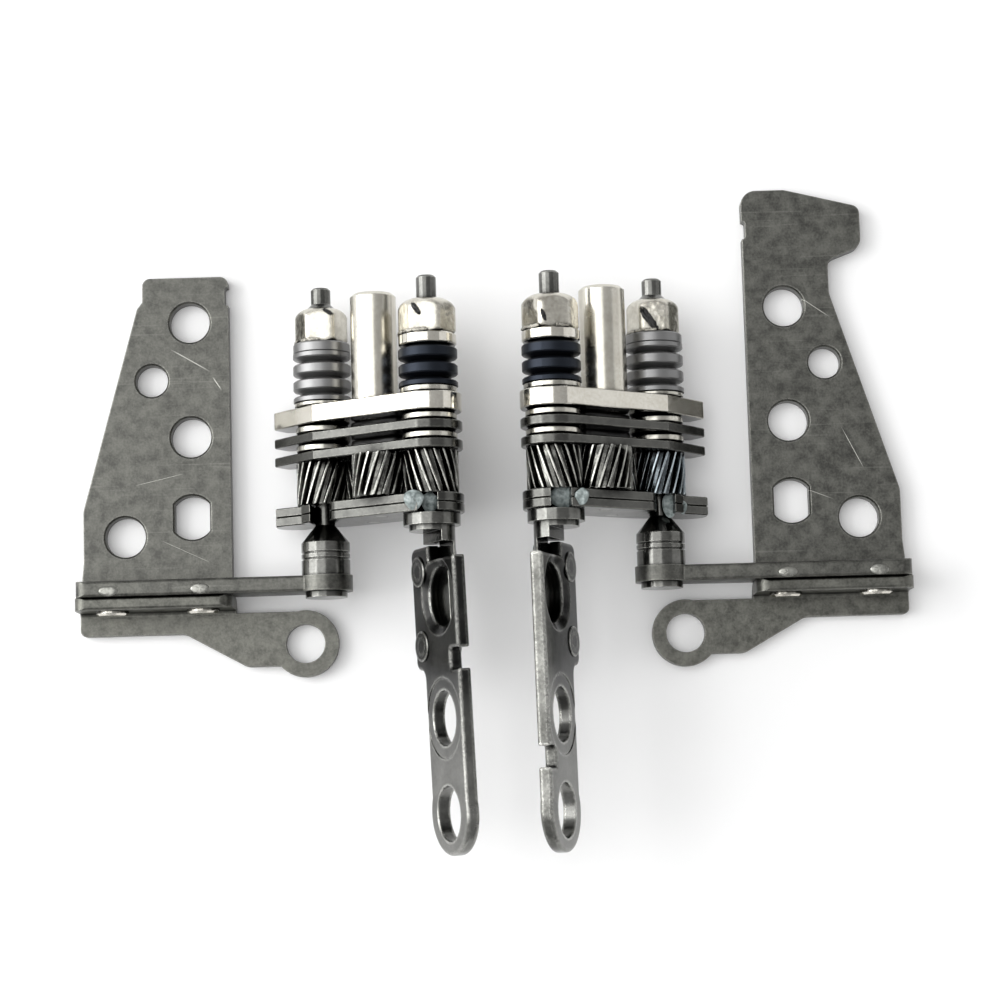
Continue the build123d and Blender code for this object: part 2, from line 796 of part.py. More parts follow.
def at_base_shaft(piece):
    """Put a piece that is drawn about the base shaft's axis into the hinge frame."""
    return Pos(0, 0, base_shaft_height) * piece


def in_link(piece, opening):
    """Put a piece from the link frame where it lies at a lid opening."""
    return Pos(0, 0, base_shaft_height) * Rot(0, opening / 2 - 90, 0) * piece


def in_lid(piece, opening):
    """Put a piece from the lid frame where it lies at a lid opening."""
    slope = radians(90 - opening / 2)
    x = shaft_spacing * cos(slope)
    z = base_shaft_height + shaft_spacing * sin(slope)
    return Pos(x, 0, z) * Rot(0, opening - 180, 0) * piece


def hinge(opening, leaf, notch_up, lean, hand):
    """All the pieces of one hinge by name, in the hinge frame."""
    turn = opening / 2 - 90
    lid_turn = opening - 180
    base_phase = direction((0, 0), near_idler_centre)
    near_phase = meshing_phase((0, 0), base_phase, near_idler_centre)
    far_phase = meshing_phase(near_idler_centre, near_phase, far_idler_centre)
    lid_phase = meshing_phase(far_idler_centre, far_phase, lid_shaft_centre)
    near_idler = Pos(near_idler_centre[0], 0, near_idler_centre[1]) * idler(-hand, near_phase)
    far_idler = Pos(far_idler_centre[0], 0, far_idler_centre[1]) * idler(hand, far_phase)
    gear_plate_outline = plate_outline() - shaft_bores() - journal_bores()
    friction_plate_outline = plate_outline() - shaft_bores()
    high_washer = friction_washer(high_washer_top)
    low_washer = friction_washer(low_washer_top)
    base_pieces = {
        "base_shaft": base_shaft(hand, base_phase + turn),
        "base_high_washer": high_washer,
        "base_low_washer": low_washer,
        "base_seat_washer": flat_washer(seat_washer_diameter, base_seat_top, base_seat_washer_thickness),
        "base_disc_springs": disc_springs(base_spring_discs, base_seat_top),
        "base_cap_washer": flat_washer(cap_washer_diameter, base_cap_top, base_cap_washer_thickness),
        "base_nut": nut(base_nut_across_flats, base_cap_top),
    }
    link_pieces = {
        "post_plate": post_plate(),
        "guide_post": guide_post(),
        "friction_plate": plate(friction_plate_outline, friction_plate_top, friction_plate_thickness),
        "gear_plate": plate(gear_plate_outline, gear_plate_top, gear_plate_thickness),
        "inner_link_plate": link_plate(inner_link_top),
        "outer_link_plate": link_plate(outer_link_top),
        "near_idler": near_idler,
        "far_idler": far_idler,
    }
    lid_pieces = {
        "lid_shaft": lid_shaft(-hand, lid_phase + turn - lid_turn, lean),
        "lid_high_washer": high_washer,
        "lid_low_washer": low_washer,
        "lid_seat_washer": flat_washer(seat_washer_diameter, lid_seat_top, lid_seat_washer_thickness),
        "lid_disc_springs": disc_springs(lid_spring_discs, lid_seat_top),
        "lid_cap_washer": flat_washer(cap_washer_diameter, lid_cap_top, lid_cap_washer_thickness),
        "lid_nut": nut(lid_nut_across_flats, lid_cap_top),
        "lid_arm": leaned(lid_arm(notch_up), lean),
        "lid_arm_rivets": leaned(arm_rivets(), lean),
    }
    pieces = {
        "base_bracket": base_bracket(leaf),
        "foot_bracket": foot_bracket(),
        "bracket_rivets": base_rivets(),
    }
    pieces |= {name: at_base_shaft(piece) for name, piece in base_pieces.items()}
    pieces |= {name: in_link(piece, opening) for name, piece in link_pieces.items()}
    pieces |= {name: in_lid(piece, opening) for name, piece in lid_pieces.items()}
    return pieces


def write_pair():
    """Write every piece. The right hinge mirrors the left one but keeps the hand of its gears."""
    os.makedirs("parts", exist_ok=True)
    left = hinge(left_opening, left_leaf_outline(), left_notch_up, left_arm_lean, 1)
    right = hinge(right_opening, right_leaf_outline(), right_notch_up, right_arm_lean, -1)
    for name, piece in left.items():
        export_step(Pos(-base_shaft_half_span, -middle_y, 0) * piece, f"parts/left_{name}.step")
    for name, piece in right.items():
        mirrored = mirror(piece, about=Plane.YZ)
        export_step(Pos(base_shaft_half_span, -middle_y, 0) * mirrored, f"parts/right_{name}.step")


write_pair()
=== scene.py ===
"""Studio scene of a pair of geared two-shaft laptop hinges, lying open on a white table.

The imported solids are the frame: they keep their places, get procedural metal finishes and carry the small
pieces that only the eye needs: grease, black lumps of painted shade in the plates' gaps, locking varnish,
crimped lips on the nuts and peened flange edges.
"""

import logging
import math
from dataclasses import dataclass
from enum import Enum
from typing import Any

import bpy
from mathutils import Matrix, Vector


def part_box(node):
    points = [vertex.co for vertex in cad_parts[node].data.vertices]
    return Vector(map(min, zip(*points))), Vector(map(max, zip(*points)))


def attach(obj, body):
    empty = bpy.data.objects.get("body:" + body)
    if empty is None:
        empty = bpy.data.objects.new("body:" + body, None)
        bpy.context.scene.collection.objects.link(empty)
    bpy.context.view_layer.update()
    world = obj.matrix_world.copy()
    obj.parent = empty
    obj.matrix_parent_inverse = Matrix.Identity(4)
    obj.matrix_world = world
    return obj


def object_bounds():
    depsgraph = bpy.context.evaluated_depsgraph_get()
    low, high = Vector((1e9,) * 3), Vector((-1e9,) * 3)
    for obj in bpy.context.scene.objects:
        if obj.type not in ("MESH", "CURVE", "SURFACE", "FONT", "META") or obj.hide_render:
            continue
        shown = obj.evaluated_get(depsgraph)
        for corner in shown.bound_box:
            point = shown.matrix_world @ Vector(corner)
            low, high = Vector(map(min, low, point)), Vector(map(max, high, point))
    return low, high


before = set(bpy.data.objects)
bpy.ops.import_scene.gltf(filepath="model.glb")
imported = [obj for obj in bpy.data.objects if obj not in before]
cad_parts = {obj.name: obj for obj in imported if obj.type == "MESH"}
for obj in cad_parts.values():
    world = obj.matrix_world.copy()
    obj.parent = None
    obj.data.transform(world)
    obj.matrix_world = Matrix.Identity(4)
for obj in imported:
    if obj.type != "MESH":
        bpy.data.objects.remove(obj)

CAD_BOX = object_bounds()
MM = 0.001
LOG = logging.getLogger("hinge_pair")


class Side(Enum):
    """The two hinges of the pair."""

    LEFT = "left"
    RIGHT = "right"

    def node(self, name: str) -> bpy.types.Object:
        """Give this side's solid of that name."""
        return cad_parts[f"{self.value}_{name}"]

    def body(self, name: str) -> str:
        """Give this side's moving body of that name."""
        return f"{self.value}_{name}"


class Shaft(Enum):
    """The two shafts of a hinge."""

    BASE = "base"
    LID = "lid"


class Axis(Enum):
    """The axes that a zone can run along."""

    ACROSS = "X"
    ALONG = "Y"


def linear(code: str) -> tuple[float, float, float, float]:
    """Turn an sRGB hex colour to linear RGBA.

    Args:
        code: Six hex digits.

    Returns:
        The linear colour with full alpha.
    """
    parts = [int(code[i : i + 2], 16) / 255 for i in (0, 2, 4)]
    red, green, blue = (p / 12.92 if p <= 0.04045 else ((p + 0.055) / 1.055) ** 2.4 for p in parts)
    return red, green, blue, 1.0


def per_metre(size: float) -> float:
    """Give the texture scale whose features are about that many millimetres across."""
    return 1 / (size * MM)


def add_node(
    tree: bpy.types.NodeTree, kind: str, settings: dict[Any, Any], links: dict[Any, Any]
) -> bpy.types.Node:
    """Add one node with its settings and links.

    Args:
        tree: The node tree that gets the node.
        kind: The node's type name, without its common prefix.
        settings: Values by the name of a property, or by the name or number of an input socket.
        links: Output sockets by the name or number of the input socket that they feed.

    Returns:
        The new node.
    """
    node = tree.nodes.new(f"ShaderNode{kind}")
    for name, value in settings.items():
        if isinstance(name, str) and hasattr(node, name):
            setattr(node, name, value)
        else:
            node.inputs[name].default_value = value
    for name, source in links.items():
        tree.links.new(source, node.inputs[name])
    return node


def blank_material(name: str) -> bpy.types.Material:
    """Make a material with an empty node tree.

    Args:
        name: The material's name.

    Returns:
        The new material.
    """
    made = bpy.data.materials.new(name)
    made.use_nodes = True
    made.node_tree.nodes.clear()
    return made


# Sockets of a colour mix: its factor, its two colours and its result
MIX_FACTOR, MIX_FIRST, MIX_SECOND, MIX_RESULT = 0, 6, 7, 2
# Octaves of the noises, and the strength that each finer octave of the mottle keeps
MOTTLE_DETAIL, GRIT_DETAIL, RIPPLE_DETAIL, HAIRLINE_DETAIL, LUMP_DETAIL = 7.0, 3.0, 1.0, 2.0, 4.0
MOTTLE_ROUGHNESS = 0.66
# Levels of a noise between which a tone, a gloss, a rubbed patch, a hairline or a lump comes in
TONE_BAND, GLOSS_BAND, PATCH_BAND = (0.34, 0.66), (0.32, 0.68), (0.3, 0.6)
HAIRLINE_BAND, LUMP_BAND = (0.66, 0.74), (0.35, 0.65)
# How far the grit shifts the tones, and what is taken off so that it shifts them both ways
GRIT_SHARE, GRIT_MIDDLE = 0.35, 0.17
# Rubbed edges: their reach in edge radii, the cosines between which wear comes in, and its least share
RUB_REACH, RUB_BAND, LEAST_RUB = 1.6, (0.99, 0.86), 0.35
# Hairlines: their two directions and their lean in radians, and the size of one in millimetres
HAIRLINE_TURNS, HAIRLINE_LEAN, HAIRLINE_SIZE = (0.5, 2.1), (0.3, 0.2), (14.0, 0.35, 2.0)
# Painted shade and old oil in corners and gaps: how far the mottle shifts its rim, and the openness between
# which it thins out
SHADE_AND_OIL_DRIFT, SHADE_AND_OIL_BAND = 0.5, (0.45, 0.88)
# Rays for a rounded edge and for the openness of a corner
BEVEL_SAMPLES, OCCLUSION_SAMPLES = 4, 6


@dataclass(frozen=True)
class Scratch:
    """A straight scratch on a level face, from one point to another, in millimetres.

    A share of its length keeps its full strength, and the rest fades towards the ends.
    """

    start: tuple[float, float]
    end: tuple[float, float]
    width: float = 0.09
    full_share: float = 0.5

    def mask(self, tree: bpy.types.NodeTree, place: bpy.types.NodeSocket) -> bpy.types.NodeSocket:
        """Add the nodes that are 1 on the scratch and 0 off it.

        Args:
            tree: The node tree that gets the nodes.
            place: The socket of the surface's own coordinates.

        Returns:
            The mask's socket.
        """
        first, last = Vector(self.start), Vector(self.end)
        run = last - first
        middle = (first + last) / 2 * MM
        local = add_node(
            tree,
            "Mapping",
            {
                "vector_type": "TEXTURE",
                "Location": (middle.x, middle.y, 0.0),
                "Rotation": (0.0, 0.0, math.atan2(run.y, run.x)),
            },
            {"Vector": place},
        )
        axes = add_node(tree, "SeparateXYZ", {}, {0: local.outputs[0]})
        along = add_node(tree, "Math", {"operation": "ABSOLUTE"}, {0: axes.outputs["X"]})
        across = add_node(tree, "Math", {"operation": "ABSOLUTE"}, {0: axes.outputs["Y"]})
        half = run.length / 2 * MM
        ends = {"From Min": half * self.full_share, "From Max": half, "To Min": 1.0, "To Max": 0.0}
        sides = {"From Min": 0.0, "From Max": self.width * MM, "To Min": 1.0, "To Max": 0.0}
        faded = add_node(tree, "MapRange", ends, {"Value": along.outputs[0]})
        thin = add_node(tree, "MapRange", sides, {"Value": across.outputs[0]})
        both = add_node(tree, "Math", {"operation": "MULTIPLY"}, {0: faded.outputs[0], 1: thin.outputs[0]})
        return both.outputs[0]


@dataclass(frozen=True)
class Zone:
    """A stretch of a piece along one axis that has its own tones and fades at both ends.

    Sizes are in millimetres, and tones are sRGB hex.
    """

    axis: Axis
    low: float
    high: float
    fade: float
    deep: str
    pale: str
    worn: str

    def mask(self, tree: bpy.types.NodeTree, place: bpy.types.NodeSocket) -> bpy.types.NodeSocket:
        """Add the nodes that are 1 in the stretch and 0 outside it.

        Args:
            tree: The node tree that gets the nodes.
            place: The socket of the surface's own coordinates.

        Returns:
            The mask's socket.
        """
        level = add_node(tree, "SeparateXYZ", {}, {0: place}).outputs[self.axis.value]
        starts = {"From Min": (self.low - self.fade) * MM, "From Max": self.low * MM}
        ends = {"From Min": (self.high + self.fade) * MM, "From Max": self.high * MM}
        above = add_node(tree, "MapRange", starts, {"Value": level}).outputs[0]
        below = add_node(tree, "MapRange", ends, {"Value": level}).outputs[0]
        return add_node(tree, "Math", {"operation": "MULTIPLY"}, {0: above, 1: below}).outputs[0]


@dataclass(frozen=True)
class MetalFinish:
    """A metal surface: two mottled tones, fine grit, rubbed edges, and painted shade with old oil in its
    corners and gaps.

    Colours are sRGB hex. Sizes are in millimetres, and shares go from 0 to 1.
    """

    name: str
    deep: str
    pale: str
    worn: str
    roughness: tuple[float, float]
    mottle: float = 2.0
    grit: float = 0.2
    grit_height: float = 0.002
    ripple: float = 2.0
    ripple_height: float = 0.004
    edge: float = 0.06
    wear: float = 0.5
    shade_and_oil: str = "0b0b0a"
    shade_and_oil_reach: float = 0.6
    shade_and_oil_share: float = 0.85
    hairlines: float = 0.0
    scratches: tuple[Scratch, ...] = ()
    zones: tuple[Zone, ...] = ()

    def material(self) -> bpy.types.Material:
        """Give the finish's material, made on its first use.

        Returns:
            The material.
        """
        found = bpy.data.materials.get(self.name)
        if found:
            return found
        made = blank_material(self.name)
        tree = made.node_tree
        place = add_node(tree, "TexCoord", {}, {}).outputs["Object"]
        blotches = {"Scale": per_metre(self.mottle), "Detail": MOTTLE_DETAIL, "Roughness": MOTTLE_ROUGHNESS}
        mottle = add_node(tree, "TexNoise", blotches, {"Vector": place}).outputs["Fac"]
        grains = {"Scale": per_metre(self.grit), "Detail": GRIT_DETAIL}
        grit = add_node(tree, "TexNoise", grains, {"Vector": place}).outputs["Fac"]
        colour = self._rubbed(tree, self._tones(tree, mottle, grit, self), grit, self.worn)
        for zone in self.zones:
            inside = self._rubbed(tree, self._tones(tree, mottle, grit, zone), grit, zone.worn)
            within = {MIX_FACTOR: zone.mask(tree, place), MIX_FIRST: colour, MIX_SECOND: inside}
            colour = add_node(tree, "Mix", {"data_type": "RGBA"}, within).outputs[MIX_RESULT]
        height = grit
        marks = self._marks(tree, place)
        if marks:
            bare = {"data_type": "RGBA", MIX_SECOND: linear(self.worn)}
            colour = add_node(tree, "Mix", bare, {MIX_FACTOR: marks, MIX_FIRST: colour}).outputs[MIX_RESULT]
            height = add_node(tree, "Math", {"operation": "SUBTRACT"}, {0: grit, 1: marks}).outputs[0]
        low, high = self.roughness
        gloss = {"From Min": GLOSS_BAND[0], "From Max": GLOSS_BAND[1], "To Min": low, "To Max": high}
        shader = add_node(
            tree,
            "BsdfPrincipled",
            {"Metallic": 1.0},
            {
                "Base Color": self._shaded_and_oiled(tree, colour, mottle),
                "Roughness": add_node(tree, "MapRange", gloss, {"Value": mottle}).outputs[0],
                "Normal": self._relief(tree, place, height),
            },
        )
        add_node(tree, "OutputMaterial", {}, {"Surface": shader.outputs[0]})
        return made

    def _tones(
        self,
        tree: bpy.types.NodeTree,
        mottle: bpy.types.NodeSocket,
        grit: bpy.types.NodeSocket,
        tones_of: "MetalFinish | Zone",
    ) -> bpy.types.NodeSocket:
        """Mix the two tones by the mottle, with a little of the grit.

        Args:
            tree: The node tree that gets the nodes.
            mottle: The socket of the large noise.
            grit: The socket of the fine noise.
            tones_of: The finish or the zone that gives the tones.

        Returns:
            The colour's socket.
        """
        shift = {"operation": "MULTIPLY_ADD", 1: GRIT_SHARE, 2: -GRIT_MIDDLE}
        grain = add_node(tree, "Math", shift, {0: grit}).outputs[0]
        grained = add_node(tree, "Math", {"operation": "ADD"}, {0: mottle, 1: grain}).outputs[0]
        step = {"From Min": TONE_BAND[0], "From Max": TONE_BAND[1]}
        blotch = add_node(tree, "MapRange", step, {"Value": grained}).outputs[0]
        tones = {"data_type": "RGBA", MIX_FIRST: linear(tones_of.deep), MIX_SECOND: linear(tones_of.pale)}
        return add_node(tree, "Mix", tones, {MIX_FACTOR: blotch}).outputs[MIX_RESULT]

    def _rubbed(
        self, tree: bpy.types.NodeTree, colour: bpy.types.NodeSocket, grit: bpy.types.NodeSocket, worn: str
    ) -> bpy.types.NodeSocket:
        """Lighten the edges, where a rounded normal leaves the flat one.

        Args:
            tree: The node tree that gets the nodes.
            colour: The socket of the colour so far.
            grit: The socket of the fine noise, which makes the rubbing patchy.
            worn: The tone of the rubbed edges.

        Returns:
            The new colour's socket.
        """
        reach = {"samples": BEVEL_SAMPLES, "Radius": self.edge * RUB_REACH * MM}
        normals = {
            0: add_node(tree, "Bevel", reach, {}).outputs[0],
            1: add_node(tree, "NewGeometry", {}, {}).outputs["Normal"],
        }
        same = add_node(tree, "VectorMath", {"operation": "DOT_PRODUCT"}, normals).outputs["Value"]
        near = {"From Min": RUB_BAND[0], "From Max": RUB_BAND[1], "To Min": 0.0, "To Max": self.wear}
        bare = add_node(tree, "MapRange", near, {"Value": same}).outputs[0]
        spots = {"From Min": PATCH_BAND[0], "From Max": PATCH_BAND[1], "To Min": LEAST_RUB}
        patchy = add_node(tree, "MapRange", spots, {"Value": grit}).outputs[0]
        share = add_node(tree, "Math", {"operation": "MULTIPLY"}, {0: bare, 1: patchy}).outputs[0]
        tones = {"data_type": "RGBA", MIX_SECOND: linear(worn)}
        return add_node(tree, "Mix", tones, {MIX_FACTOR: share, MIX_FIRST: colour}).outputs[MIX_RESULT]

    def _marks(self, tree: bpy.types.NodeTree, place: bpy.types.NodeSocket) -> bpy.types.NodeSocket | None:
        """Gather the scratches and the fine hairlines into one mask.

        Args:
            tree: The node tree that gets the nodes.
            place: The socket of the surface's own coordinates.

        Returns:
            The mask's socket, or None where there are no marks.
        """
        masks = [scratch.mask(tree, place) for scratch in self.scratches]
        stretch = tuple(per_metre(size) for size in HAIRLINE_SIZE)
        for turn in HAIRLINE_TURNS if self.hairlines else ():
            drawn = {"Rotation": (*HAIRLINE_LEAN, turn), "Scale": stretch}
            lines = add_node(tree, "Mapping", drawn, {"Vector": place}).outputs[0]
            streaks = {"Scale": 1.0, "Detail": HAIRLINE_DETAIL}
            noise = add_node(tree, "TexNoise", streaks, {"Vector": lines}).outputs["Fac"]
            fine = {"From Min": HAIRLINE_BAND[0], "From Max": HAIRLINE_BAND[1], "To Max": self.hairlines}
            masks.append(add_node(tree, "MapRange", fine, {"Value": noise}).outputs[0])
        while len(masks) > 1:
            pair = {0: masks.pop(), 1: masks.pop()}
            masks.append(add_node(tree, "Math", {"operation": "MAXIMUM"}, pair).outputs[0])
        return masks[0] if masks else None

    def _shaded_and_oiled(
        self, tree: bpy.types.NodeTree, colour: bpy.types.NodeSocket, mottle: bpy.types.NodeSocket
    ) -> bpy.types.NodeSocket:
        """Paint shade into corners and gaps by how little of the sky they see, with the old oil that stays
        there.

        Args:
            tree: The node tree that gets the nodes.
            colour: The socket of the colour so far.
            mottle: The socket of the large noise, which makes the rim of the darkening uneven.

        Returns:
            The new colour's socket.
        """
        # Painted shade: the colour goes dark by the openness of the corner, from ambient occlusion
        reach = {"samples": OCCLUSION_SAMPLES, "Distance": self.shade_and_oil_reach * MM}
        open_sky = add_node(tree, "AmbientOcclusion", reach, {}).outputs["AO"]
        shift = {"operation": "MULTIPLY_ADD", 1: SHADE_AND_OIL_DRIFT, 2: -SHADE_AND_OIL_DRIFT / 2}
        drift = add_node(tree, "Math", shift, {0: mottle}).outputs[0]
        opened = add_node(tree, "Math", {"operation": "ADD"}, {0: open_sky, 1: drift}).outputs[0]
        shut = {"From Min": SHADE_AND_OIL_BAND[0], "From Max": SHADE_AND_OIL_BAND[1], "To Min": self.shade_and_oil_share, "To Max": 0.0}
        share = add_node(tree, "MapRange", shut, {"Value": opened}).outputs[0]
        tones = {"data_type": "RGBA", MIX_SECOND: linear(self.shade_and_oil)}
        return add_node(tree, "Mix", tones, {MIX_FACTOR: share, MIX_FIRST: colour}).outputs[MIX_RESULT]

    def _relief(
        self, tree: bpy.types.NodeTree, place: bpy.types.NodeSocket, height: bpy.types.NodeSocket
    ) -> bpy.types.NodeSocket:
        """Round the sharp edges and lay ripple and grit over the faces.

        Args:
            tree: The node tree that gets the nodes.
            place: The socket of the surface's own coordinates.
            height: The socket of the grit's height, less the marks.

        Returns:
            The normal's socket.
        """
        rounded = add_node(tree, "Bevel", {"samples": BEVEL_SAMPLES, "Radius": self.edge * MM}, {}).outputs[0]
        waves = {"Scale": per_metre(self.ripple), "Detail": RIPPLE_DETAIL}
        ripple = add_node(tree, "TexNoise", waves, {"Vector": place}).outputs["Fac"]
        waved = add_node(
            tree, "Bump", {"Distance": self.ripple_height * MM}, {"Height": ripple, "Normal": rounded}
        ).outputs[0]
        return add_node(
            tree, "Bump", {"Distance": self.grit_height * MM}, {"Height": height, "Normal": waved}
        ).outputs[0]


# Stamped cold-rolled steel, tumbled and oiled: dull mid grey, blotchy, with rubbed edges and a few scratches
LEAF_SCRATCHES = {
    Side.LEFT: (
        Scratch((-31.8, 18.2), (-27.8, 15.8)),
        Scratch((-27.6, 15.3), (-26.7, 13.9)),
        Scratch((-35.5, 4.5), (-30.5, 5.6), 0.06),
        Scratch((-33.0, -1.0), (-28.0, -3.4), 0.05),
    ),
    Side.RIGHT: (
        Scratch((31.0, 22.0), (34.5, 19.5), 0.06),
        Scratch((29.5, 3.0), (34.0, 1.2), 0.06),
        Scratch((35.0, 8.5), (37.2, 4.0), 0.05),
    ),
}


def leaf_steel(side: Side) -> MetalFinish:
    """Give the finish of one base leaf, which has its own scratches.

    Args:
        side: The hinge that the leaf belongs to.

    Returns:
        The finish.
    """
    return MetalFinish(
        f"cold_rolled_steel_{side.value}",
        "4a4a47",
        "6c6c67",
        "b4b4ad",
        (0.3, 0.46),
        mottle=1.3,
        grit=0.22,
        grit_height=0.018,
        edge=0.14,
        wear=0.7,
        hairlines=0.1,
        shade_and_oil_share=0.9,
        scratches=LEAF_SCRATCHES[side],
    )


# The same sheet on the foot bracket, a little paler where it was rubbed on the table
FOOT = MetalFinish(
    "cold_rolled_steel_foot",
    "50504c",
    "72726c",
    "b0b0a9",
    (0.3, 0.46),
    mottle=1.2,
    grit=0.22,
    grit_height=0.018,
    edge=0.14,
    wear=0.7,
)
# Bright nickel plate on the thick plate: warm, nearly a mirror, with painted shade and old oil black in the
# gaps
NICKEL = MetalFinish(
    "bright_nickel_plate",
    "cbc7bd",
    "d8d5cc",
    "f2efe6",
    (0.08, 0.16),
    mottle=2.4,
    grit=0.3,
    grit_height=0.0006,
    ripple=2.4,
    ripple_height=0.01,
    edge=0.1,
    shade_and_oil="0a0a08",
    shade_and_oil_reach=5.0,
    shade_and_oil_share=1.0,
)
# The post is nickel over a turned bar: satin, with long soft lights
POST_NICKEL = MetalFinish(
    "satin_nickel_post",
    "c4c0b5",
    "d4d1c7",
    "f2efe6",
    (0.2, 0.28),
    mottle=2.0,
    grit=0.3,
    grit_height=0.0006,
    ripple=3.2,
    ripple_height=0.02,
    edge=0.15,
    shade_and_oil_share=0.9,
)
# Nut plated in nickel after its flats were rolled over: soft facets and a hammered skin
NUT_NICKEL = MetalFinish(
    "hammered_nickel_nut",
    "b9b5aa",
    "d6d3c9",
    "f2efe6",
    (0.12, 0.24),
    mottle=1.2,
    grit=0.35,
    grit_height=0.003,
    ripple=0.9,
    ripple_height=0.045,
    edge=0.55,
    wear=0.0,
    shade_and_oil="12110d",
    shade_and_oil_reach=0.5,
    shade_and_oil_share=0.95,
)
# Hardened plate, black-plated and wiped: dark and glossy, pale where its rims rubbed, and black in its gaps
# by painted shade with old oil
PLATE = MetalFinish(
    "black_plated_plate",
    "4a4a48",
    "5c5c59",
    "b4b4ad",
    (0.14, 0.24),
    mottle=3.0,
    grit=0.3,
    grit_height=0.001,
    ripple=1.2,
    ripple_height=0.01,
    edge=0.09,
    wear=0.8,
    shade_and_oil="070706",
    shade_and_oil_reach=5.0,
    shade_and_oil_share=1.0,
)


def shaft_steel(name: str, zone: Zone) -> MetalFinish:
    """Give a shaft's finish: turned, black-plated and glossy, with bright rubbed edges.

    Args:
        name: The finish's name.
        zone: The stretch with the gear's teeth.

    Returns:
        The finish.
    """
    return MetalFinish(
        name,
        "585855",
        "70706d",
        "d2d2cb",
        (0.12, 0.2),
        mottle=2.2,
        grit=0.3,
        grit_height=0.0012,
        ripple=1.1,
        ripple_height=0.012,
        edge=0.09,
        wear=0.8,
        shade_and_oil="060605",
        shade_and_oil_reach=0.85,
        shade_and_oil_share=1.0,
        zones=(zone,),
    )


# Tones of hobbed teeth with bright rubbed crests; painted shade and old oil make their roots black
TEETH = ("7a7a76", "a6a6a0", "f0f0ea")
# Tones of teeth under a smear of cloudy grease: bluish and a little flatter
GREASED_TEETH = ("8d98a0", "bcc7cd", "eaf0f3")
# Where the teeth start and end along a shaft, and how soon the tones change there, in millimetres
GEAR_LEVELS, GEAR_FADE = (1.6, 5.6), 0.05
SHAFT = shaft_steel("black_plated_shaft", Zone(Axis.ALONG, *GEAR_LEVELS, GEAR_FADE, *TEETH))
GREASED_SHAFT = shaft_steel(
    "black_plated_greased_shaft", Zone(Axis.ALONG, *GEAR_LEVELS, GEAR_FADE, *GREASED_TEETH)
)
# Hardened idler gears: the same bright crests, with painted shade and old oil black in the roots
GEAR = MetalFinish(
    "hobbed_gear_steel",
    *TEETH,
    (0.14, 0.24),
    mottle=0.8,
    grit=0.2,
    grit_height=0.002,
    edge=0.05,
    wear=0.9,
    shade_and_oil="060605",
    shade_and_oil_reach=0.85,
    shade_and_oil_share=1.0,
)
# The upper part of an arm is darker: oil from the gears, and a painted dark reflection of the parts beside it
ARM_OIL_AND_DARK_REFLECTION = Zone(Axis.ALONG, -15.5, 0.0, 9.0, "1c1c1c", "383837", "dcdcd6")
# The right arm's raised edge is rubbed, and painted pale as a sheen for the bright sky that it reflects
ARM_EDGE_WEAR_AND_SHEEN = Zone(Axis.ACROSS, 0.0, 5.1, 0.5, "484845", "7a7a76", "f0f0ea")


def arm_steel(name: str, zones: tuple[Zone, ...]) -> MetalFinish:
    """Give an arm's finish: stamped, black nickel, glossy and bright on its rolled edges.

    Args:
        name: The finish's name.
        zones: The stretches with tones of their own.

    Returns:
        The finish.
    """
    return MetalFinish(
        name,
        "62625f",
        "7c7c79",
        "dcdcd6",
        (0.16, 0.28),
        mottle=3.0,
        grit=0.25,
        grit_height=0.0016,
        ripple=2.2,
        ripple_height=0.014,
        edge=0.3,
        wear=1.0,
        # Painted shade with old oil reaches four millimetres into the arm's corners
        shade_and_oil="060606",
        shade_and_oil_reach=4.0,
        shade_and_oil_share=1.0,
        zones=zones,
    )


ARMS = {
    Side.LEFT: arm_steel("black_nickel_left_arm", (ARM_OIL_AND_DARK_REFLECTION,)),
    Side.RIGHT: arm_steel("black_nickel_right_arm", (ARM_OIL_AND_DARK_REFLECTION, ARM_EDGE_WEAR_AND_SHEEN)),
}
# Spring steel as rolled: grey and glossy, with painted shade and old oil black between the discs
GREY_SPRING = MetalFinish(
    "grey_spring_steel",
    "7d7d79",
    "a3a39d",
    "dededa",
    (0.14, 0.24),
    mottle=1.2,
    grit=0.2,
    grit_height=0.002,
    edge=0.08,
    wear=0.7,
    shade_and_oil="050505",
    shade_and_oil_reach=1.7,
    shade_and_oil_share=1.0,
)
# Spring steel blued in oil: blue-black with small sharp lights
BLUED_SPRING = MetalFinish(
    "blued_spring_steel",
    "111216",
    "262930",
    "8d929b",
    (0.08, 0.18),
    mottle=0.8,
    grit=0.2,
    grit_height=0.004,
    ripple=0.5,
    ripple_height=0.02,
    edge=0.08,
    wear=0.6,
    shade_and_oil="030303",
    shade_and_oil_reach=1.7,
    shade_and_oil_share=1.0,
)
# Ground washer steel: pale and satin
WASHER = MetalFinish(
    "ground_washer_steel",
    "b4b2a9",
    "cfccc3",
    "ece9e0",
    (0.16, 0.3),
    mottle=1.2,
    grit=0.25,
    grit_height=0.0015,
    edge=0.08,
    shade_and_oil="080807",
    shade_and_oil_reach=0.5,
    shade_and_oil_share=1.0,
)
# Steel pushed up by the rivet hammer: bare and smooth, painted paler to stand in for the bright glint along
# the flange's edge
PEENED_AND_GLINT = MetalFinish(
    "peened_steel_painted_glint", "82827d", "a4a49e", "dcdcd4", (0.24, 0.36), mottle=0.8, grit=0.25, shade_and_oil_share=0.15
)


